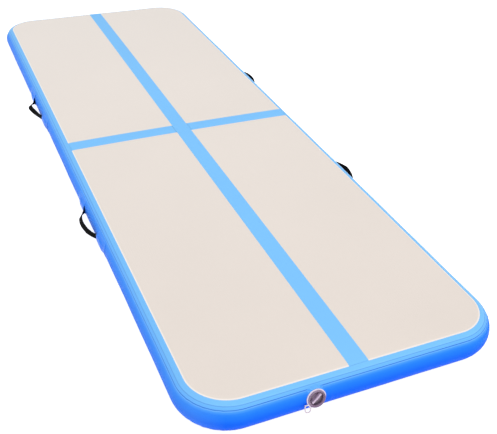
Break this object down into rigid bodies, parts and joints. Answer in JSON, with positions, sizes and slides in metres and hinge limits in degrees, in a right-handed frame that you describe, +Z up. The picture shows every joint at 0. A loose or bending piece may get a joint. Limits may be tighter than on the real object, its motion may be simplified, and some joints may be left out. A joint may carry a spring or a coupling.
{
  "type": "air track mat",
  "caption": "Inflated drop-stitch tumbling mat, cream deck crossed by blue lines, half-round blue walls, webbing side handles and a capped inflation valve in one end.",
  "frame": {"origin": "middle of the base, on the floor it lies on", "axes": "+Z up through the thickness, +Y along the mat away from the end wall that holds the valve, +X across to the right"},
  "size_m": [1.06, 3.0124, 0.1054],
  "materials": {
    "deck_pvc": "satin",
    "base_pvc": "matte",
    "inner_pvc": "matte",
    "wall_pvc": "satin",
    "band_pvc": "satin",
    "line_pvc": "satin",
    "patch_pvc": "satin",
    "boss_pvc": "satin",
    "yarn": "matte",
    "webbing": "matte",
    "clear_plastic": "gloss",
    "cap_plastic": "gloss",
    "valve_plastic": "satin",
    "gasket_rubber": "matte",
    "seal_rubber": "matte",
    "spring_steel": "satin"
  },
  "bodies": {
    "mat": {"deck_sheet": "deck_pvc", "base_sheet": "base_pvc", "drop_stitch_yarns": "yarn", "wall_side_left": "inner_pvc", "wall_side_right": "inner_pvc", "wall_end_near": "inner_pvc", "wall_end_far": "inner_pvc", "side_cover": "wall_pvc", "upper_edge_band": "band_pvc", "lower_edge_band": "band_pvc", "centre_line": "line_pvc", "cross_line_left": "line_pvc", "cross_line_right": "line_pvc", "handle_ends_left_near": "webbing", "handle_ends_left_far": "webbing", "handle_ends_right_near": "webbing", "handle_ends_right_far": "webbing", "handle_patches_left_near": "patch_pvc", "handle_patches_left_far": "patch_pvc", "handle_patches_right_near": "patch_pvc", "handle_patches_right_far": "patch_pvc", "valve_boss": "boss_pvc", "valve_body": "clear_plastic", "flange_gasket": "gasket_rubber", "valve_nut": "valve_plastic", "valve_spring": "spring_steel"},
    "handle_left_near": {"handle_loop_left_near": "webbing"},
    "handle_left_far": {"handle_loop_left_far": "webbing"},
    "handle_right_near": {"handle_loop_right_near": "webbing"},
    "handle_right_far": {"handle_loop_right_far": "webbing"},
    "poppet": {"valve_poppet": "valve_plastic", "poppet_seal": "seal_rubber"},
    "button": {"push_button": "valve_plastic"},
    "tether_ring": {"cap_ring": "clear_plastic", "cap_tether": "clear_plastic"},
    "cap": {"valve_cap": "cap_plastic", "cap_seal": "seal_rubber"}
  },
  "joints": [
    {"name": "handle_left_near_swing", "type": "hinge", "parent": "mat", "child": "handle_left_near", "pos_m": [-0.51246, -0.475, 0.0525], "axis": [0, 1, 0], "range_deg": [-80, 80], "stiffness_Nm_per_rad": 0.08},
    {"name": "handle_left_far_swing", "type": "hinge", "parent": "mat", "child": "handle_left_far", "pos_m": [-0.51246, 0.475, 0.0525], "axis": [0, 1, 0], "range_deg": [-80, 80], "stiffness_Nm_per_rad": 0.08},
    {"name": "handle_right_near_swing", "type": "hinge", "parent": "mat", "child": "handle_right_near", "pos_m": [0.51246, -0.475, 0.0525], "axis": [0, 1, 0], "range_deg": [-80, 80], "stiffness_Nm_per_rad": 0.08},
    {"name": "handle_right_far_swing", "type": "hinge", "parent": "mat", "child": "handle_right_far", "pos_m": [0.51246, 0.475, 0.0525], "axis": [0, 1, 0], "range_deg": [-80, 80], "stiffness_Nm_per_rad": 0.08},
    {"name": "poppet_slide", "type": "slide", "parent": "mat", "child": "poppet", "axis": [0, 0.9781, -0.2079], "range_m": [0, 0.005], "stiffness_N_per_m": 400, "springref_m": -0.004, "deforming": ["valve_spring"]},
    {"name": "button_turn", "type": "hinge", "parent": "poppet", "child": "button", "pos_m": [-0.147, -1.49885, 0.06341], "axis": [0, -0.9781, 0.2079], "range_deg": [0, 90]},
    {"name": "cap_slide", "type": "slide", "parent": "mat", "child": "tether_ring", "axis": [0, -0.9781, 0.2079], "range_m": [0, 0.028], "deforming": ["cap_tether"]},
    {"name": "cap_turn", "type": "hinge", "parent": "tether_ring", "child": "cap", "pos_m": [-0.147, -1.49885, 0.06341], "axis": [0, -0.9781, 0.2079], "range_deg": [0, 90]}
  ]
}
